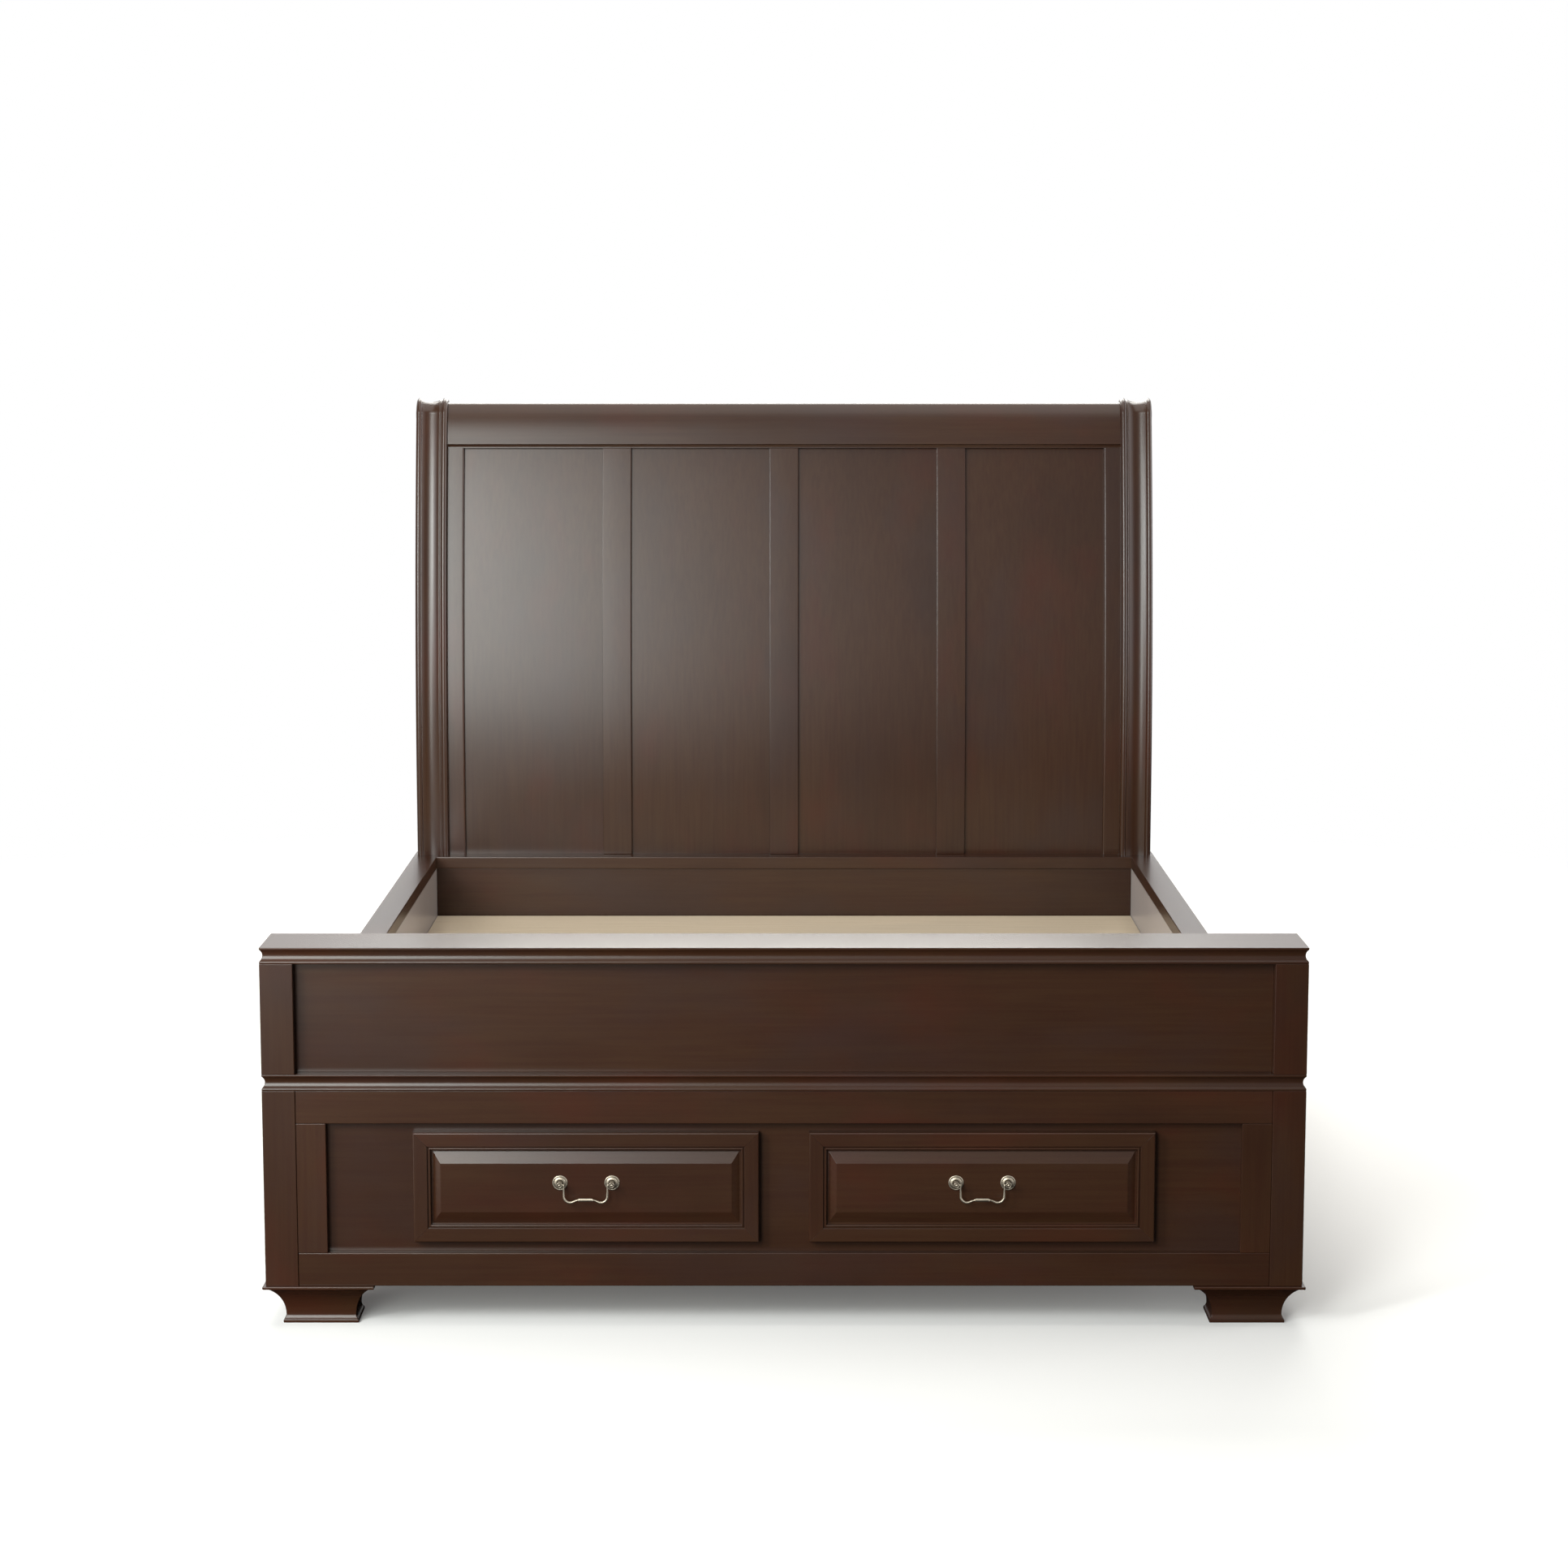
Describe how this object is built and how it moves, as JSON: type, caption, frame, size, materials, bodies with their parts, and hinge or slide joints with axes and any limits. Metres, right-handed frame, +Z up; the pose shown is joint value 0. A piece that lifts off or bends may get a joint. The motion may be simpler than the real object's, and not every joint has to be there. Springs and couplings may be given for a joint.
{
  "type": "platform bed",
  "caption": "Sleigh platform bed with a panelled headboard, a solid deck and footboard drawers with bail pulls.",
  "frame": {"origin": "on the floor under the middle of the bed", "axes": "+Y from the footboard to the headboard, +Z up, +X to the right seen from the foot"},
  "size_m": [1.65, 2.3828, 1.413],
  "materials": {
    "cherry_lacquer": "satin dark cherry lacquer",
    "pale_wood": "bare pine",
    "raw_board": "bare board",
    "zinc_steel": "zinc plated",
    "old_nickel": "antique nickel"
  },
  "bodies": {
    "frame": {"headboard_leg_left": "cherry_lacquer", "headboard_leg_right": "cherry_lacquer", "headboard_lower_board": "cherry_lacquer", "headboard_ledge": "cherry_lacquer", "curved_post_left": "cherry_lacquer", "curved_post_right": "cherry_lacquer", "scroll_buttons": "cherry_lacquer", "headboard_top_rail": "cherry_lacquer", "headboard_stile_left": "cherry_lacquer", "headboard_stile_right": "cherry_lacquer", "muntin_left": "cherry_lacquer", "muntin_middle": "cherry_lacquer", "muntin_right": "cherry_lacquer", "headboard_panel_1": "cherry_lacquer", "headboard_panel_2": "cherry_lacquer", "headboard_panel_3": "cherry_lacquer", "headboard_panel_4": "cherry_lacquer", "footboard_post_left": "cherry_lacquer", "footboard_post_right": "cherry_lacquer", "footboard_cap": "cherry_lacquer", "middle_moulding": "cherry_lacquer", "footboard_upper_panel": "cherry_lacquer", "footboard_back_panel": "cherry_lacquer", "drawer_surround_panel": "cherry_lacquer", "frame_head": "cherry_lacquer", "frame_sill": "cherry_lacquer", "frame_stile_left": "cherry_lacquer", "frame_stile_right": "cherry_lacquer", "front_foot_left": "cherry_lacquer", "front_foot_right": "cherry_lacquer", "side_rail_left": "cherry_lacquer", "side_rail_right": "cherry_lacquer", "rail_caps": "cherry_lacquer", "rail_cleats": "pale_wood", "cleat_screws": "zinc_steel", "rail_hook_plates": "zinc_steel", "post_slot_plates": "zinc_steel", "deck_boards": "raw_board", "cross_slats": "pale_wood", "middle_beam": "pale_wood", "beam_legs": "pale_wood", "drawer_bay_panels": "pale_wood", "bay_rear_rail": "pale_wood", "slide_outer_members": "zinc_steel"},
    "left_drawer": {"drawer_frame_left": "cherry_lacquer", "drawer_field_left": "cherry_lacquer", "drawer_box_left": "pale_wood", "drawer_bottom_left": "raw_board", "slide_inner_members_left": "zinc_steel", "pull_rosettes_left": "old_nickel"},
    "left_slide_member": {"slide_middle_left": "zinc_steel"},
    "left_bail": {"bail_left": "old_nickel"},
    "right_drawer": {"drawer_frame_right": "cherry_lacquer", "drawer_field_right": "cherry_lacquer", "drawer_box_right": "pale_wood", "drawer_bottom_right": "raw_board", "slide_inner_members_right": "zinc_steel", "pull_rosettes_right": "old_nickel"},
    "right_slide_member": {"slide_middle_right": "zinc_steel"},
    "right_bail": {"bail_right": "old_nickel"}
  },
  "joints": [
    {"name": "left_drawer_slide", "type": "slide", "parent": "frame", "child": "left_drawer", "axis": [0, -1, 0], "range_m": [0, 0.43]},
    {"name": "left_slide_member_travel", "type": "slide", "parent": "frame", "child": "left_slide_member", "axis": [0, -1, 0], "range_m": [0, 0.215]},
    {"name": "left_bail_swing", "type": "hinge", "parent": "left_drawer", "child": "left_bail", "pos_m": [-0.312, -1.18695, 0.2345], "axis": [-1, 0, 0], "range_deg": [0, 100]},
    {"name": "right_drawer_slide", "type": "slide", "parent": "frame", "child": "right_drawer", "axis": [0, -1, 0], "range_m": [0, 0.43]},
    {"name": "right_slide_member_travel", "type": "slide", "parent": "frame", "child": "right_slide_member", "axis": [0, -1, 0], "range_m": [0, 0.215]},
    {"name": "right_bail_swing", "type": "hinge", "parent": "right_drawer", "child": "right_bail", "pos_m": [0.312, -1.18695, 0.2345], "axis": [-1, 0, 0], "range_deg": [0, 100]}
  ],
  "couplings": [
    {"joint": "left_slide_member_travel", "follows": "left_drawer_slide", "ratio": 0.5},
    {"joint": "right_slide_member_travel", "follows": "right_drawer_slide", "ratio": 0.5}
  ]
}
